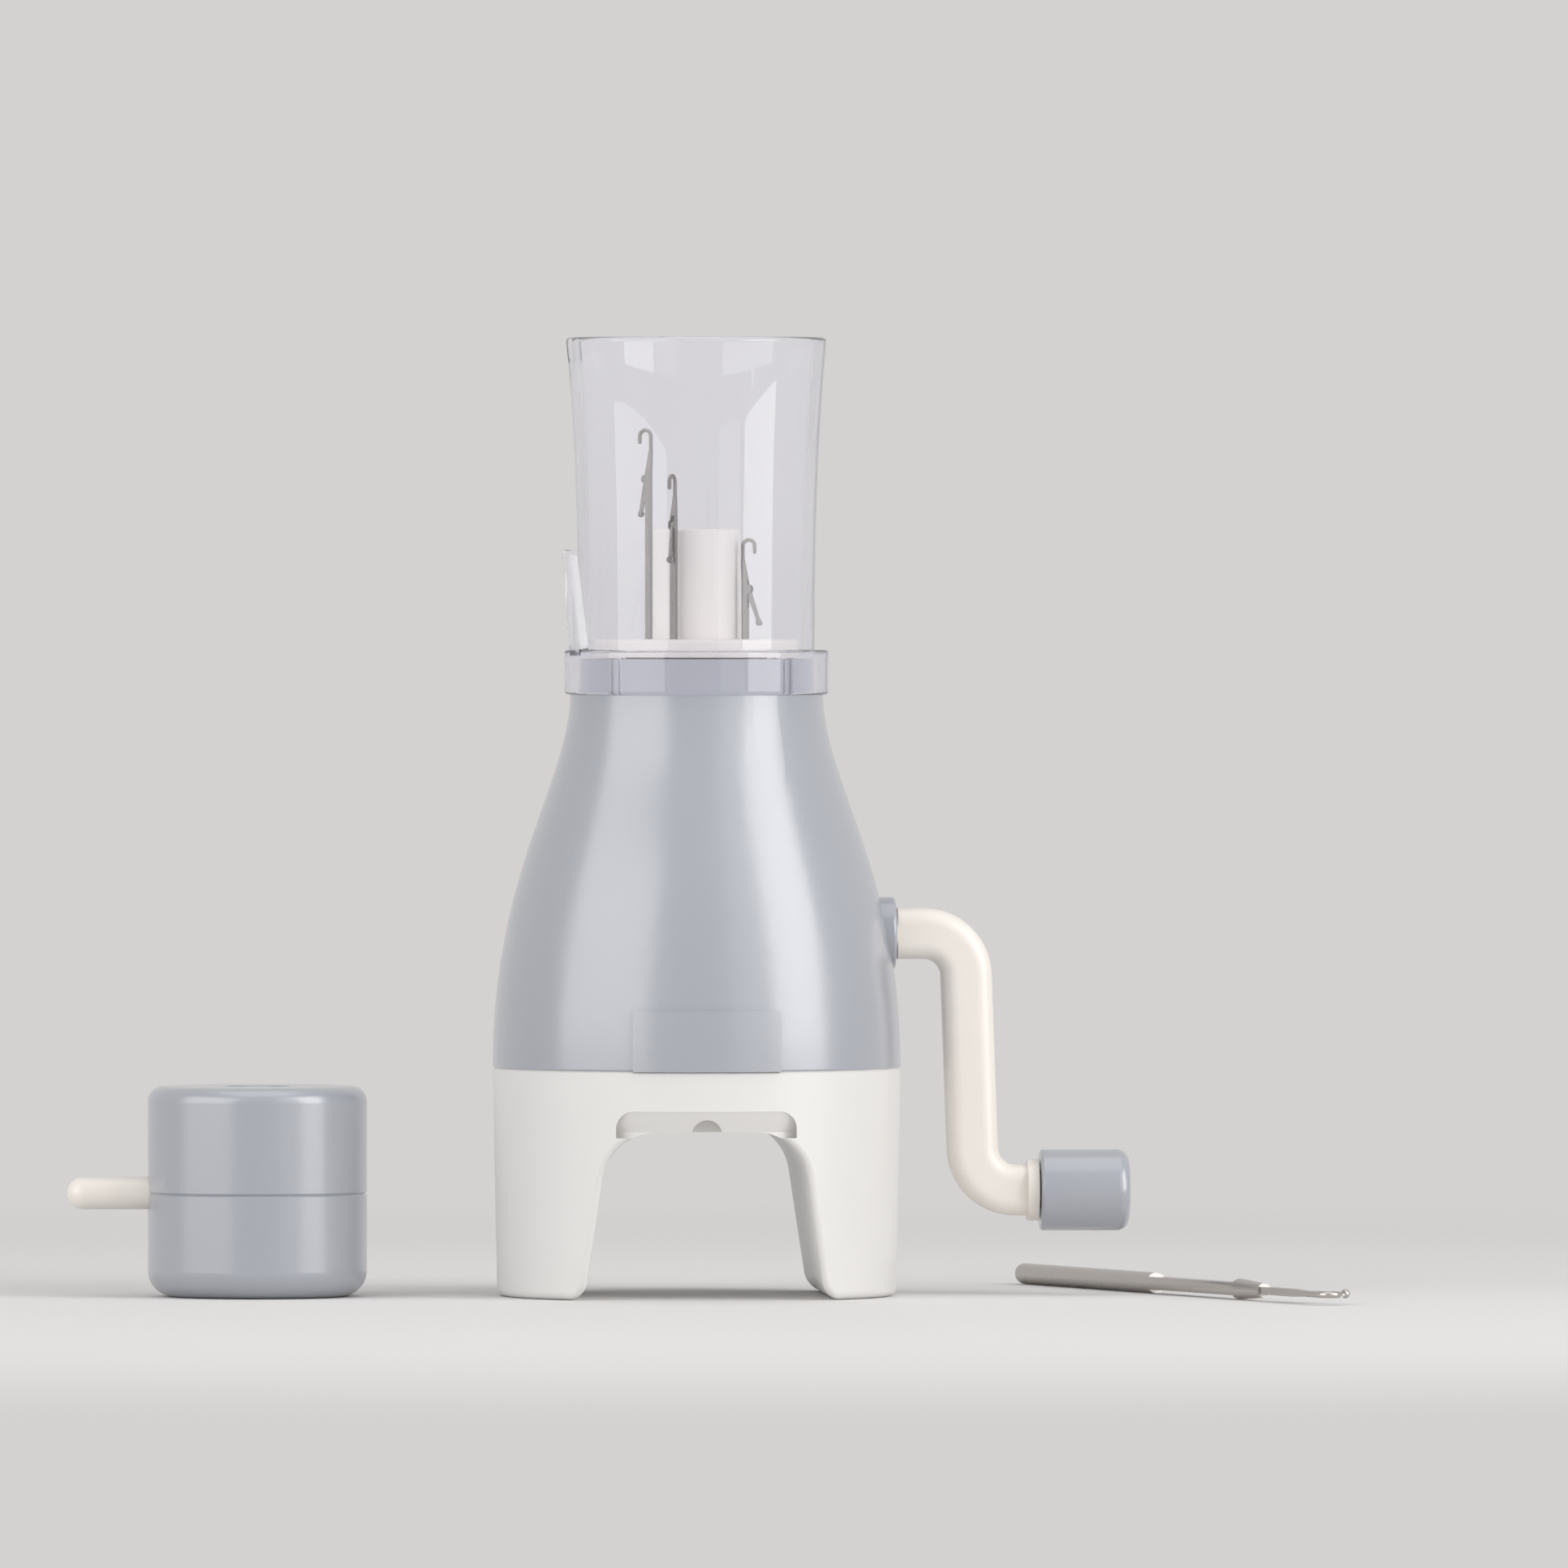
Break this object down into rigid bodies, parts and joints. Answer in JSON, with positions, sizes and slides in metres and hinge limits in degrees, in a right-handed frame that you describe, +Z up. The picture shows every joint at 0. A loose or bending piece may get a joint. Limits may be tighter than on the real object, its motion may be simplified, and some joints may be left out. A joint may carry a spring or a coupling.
{
  "type": "hand-cranked i-cord knitting mill",
  "caption": "Hand-cranked i-cord knitting mill: clear flared shield, latch needles on a geared rotor, arched base, cord weight with a push-button clamp, and a latch tool.",
  "frame": {"origin": "on the floor, under the mill's vertical axis; the set of mill, weight and tool is centred on it", "axes": "+Z up along the mill's axis, -Y towards the front of the arch, +X towards the crank"},
  "size_m": [0.2172, 0.1204, 0.1652],
  "materials": {
    "housing_plastic": "glossy blue-grey, moulded",
    "base_plastic": "satin off-white, moulded",
    "crank_plastic": "satin warm white, moulded",
    "rotor_plastic": "smooth white, moulded",
    "cam_plastic": "slippery white, moulded",
    "clear_plastic": "clear, glossy, with a faint lavender edge",
    "screw_steel": "plain zinc-plated steel",
    "slug_steel": "plain turned steel",
    "bright_steel": "bright nickel-plated steel"
  },
  "bodies": {
    "frame": {"housing": "housing_plastic", "base": "base_plastic", "base_screws": "screw_steel", "cam_sleeve": "cam_plastic", "raising_cam": "cam_plastic", "lowering_cam": "cam_plastic", "cam_screws": "screw_steel"},
    "rotor": {"rotor": "rotor_plastic", "core_tube": "rotor_plastic", "rotor_gear": "cam_plastic", "gear_screws": "screw_steel"},
    "shield": {"shield": "clear_plastic"},
    "crank": {"crank_arm": "crank_plastic", "pinion": "cam_plastic", "pinion_screw": "screw_steel", "pinion_washer": "screw_steel"},
    "knob": {"knob": "housing_plastic"},
    "weight": {"weight_top": "housing_plastic", "weight_bottom": "housing_plastic", "weight_slug": "slug_steel", "weight_spring": "screw_steel"},
    "weight_button": {"weight_button": "crank_plastic"},
    "tool": {"tool_handle": "bright_steel", "tool_needle": "bright_steel"},
    "tool_latch": {"tool_latch": "bright_steel"},
    "needle_1": {"needle_1": "bright_steel"},
    "latch_1": {"latch_1": "bright_steel"},
    "needle_2": {"needle_2": "bright_steel"},
    "latch_2": {"latch_2": "bright_steel"},
    "needle_3": {"needle_3": "bright_steel"},
    "latch_3": {"latch_3": "bright_steel"},
    "needle_4": {"needle_4": "bright_steel"},
    "latch_4": {"latch_4": "bright_steel"}
  },
  "joints": [
    {"name": "crank_turn", "type": "hinge", "parent": "frame", "child": "crank", "pos_m": [0.03, 0, 0.0624], "axis": [1, 0, 0], "continuous": true},
    {"name": "rotor_turn", "type": "hinge", "parent": "frame", "child": "rotor", "pos_m": [0, 0, 0.09], "axis": [0, 0, 1], "continuous": true},
    {"name": "knob_spin", "type": "hinge", "parent": "crank", "child": "knob", "pos_m": [0.066, 0, 0.0181], "axis": [1, 0, 0], "continuous": true},
    {"name": "shield_lift", "type": "slide", "parent": "frame", "child": "shield", "axis": [0, 0, 1], "range_m": [0, 0.06]},
    {"name": "weight_lift", "type": "slide", "parent": "frame", "child": "weight", "axis": [0, 0, 1], "range_m": [0, 0.06]},
    {"name": "weight_button_press", "type": "slide", "parent": "weight", "child": "weight_button", "axis": [1, 0, 0], "range_m": [0, 0.004], "stiffness_N_per_m": 300, "springref_m": -0.003, "deforming": ["weight_spring"]},
    {"name": "tool_lift", "type": "slide", "parent": "frame", "child": "tool", "axis": [0, 0, 1], "range_m": [0, 0.06]},
    {"name": "tool_latch_swing", "type": "hinge", "parent": "tool", "child": "tool_latch", "pos_m": [0.09688, -0.0376, 0.0018], "axis": [0, 0, 1], "range_deg": [-3, 130]},
    {"name": "needle_1_slide", "type": "slide", "parent": "rotor", "child": "needle_1", "axis": [0, 0, 1], "range_m": [-0.01901, 0.00059]},
    {"name": "latch_1_swing", "type": "hinge", "parent": "needle_1", "child": "latch_1", "pos_m": [-0.00852, 0.00453, 0.14081], "axis": [0.4695, 0.8829, 0], "range_deg": [-2, 153]},
    {"name": "needle_2_slide", "type": "slide", "parent": "rotor", "child": "needle_2", "axis": [0, 0, 1], "range_m": [-0.01112, 0.00848]},
    {"name": "latch_2_swing", "type": "hinge", "parent": "needle_2", "child": "latch_2", "pos_m": [-0.00453, -0.00852, 0.13292], "axis": [-0.8829, 0.4695, 0], "range_deg": [-2, 153]},
    {"name": "needle_3_slide", "type": "slide", "parent": "rotor", "child": "needle_3", "axis": [0, 0, 1], "range_m": [-0.00004, 0.01956]},
    {"name": "latch_3_swing", "type": "hinge", "parent": "needle_3", "child": "latch_3", "pos_m": [0.00852, -0.00453, 0.12184], "axis": [-0.4695, -0.8829, 0], "range_deg": [-12, 143]},
    {"name": "needle_4_slide", "type": "slide", "parent": "rotor", "child": "needle_4", "axis": [0, 0, 1], "range_m": [0, 0.0196]},
    {"name": "latch_4_swing", "type": "hinge", "parent": "needle_4", "child": "latch_4", "pos_m": [0.00453, 0.00852, 0.1218], "axis": [0.8829, -0.4695, 0], "range_deg": [-7, 148]}
  ],
  "couplings": [
    {"joint": "rotor_turn", "follows": "crank_turn", "ratio": -0.5}
  ]
}
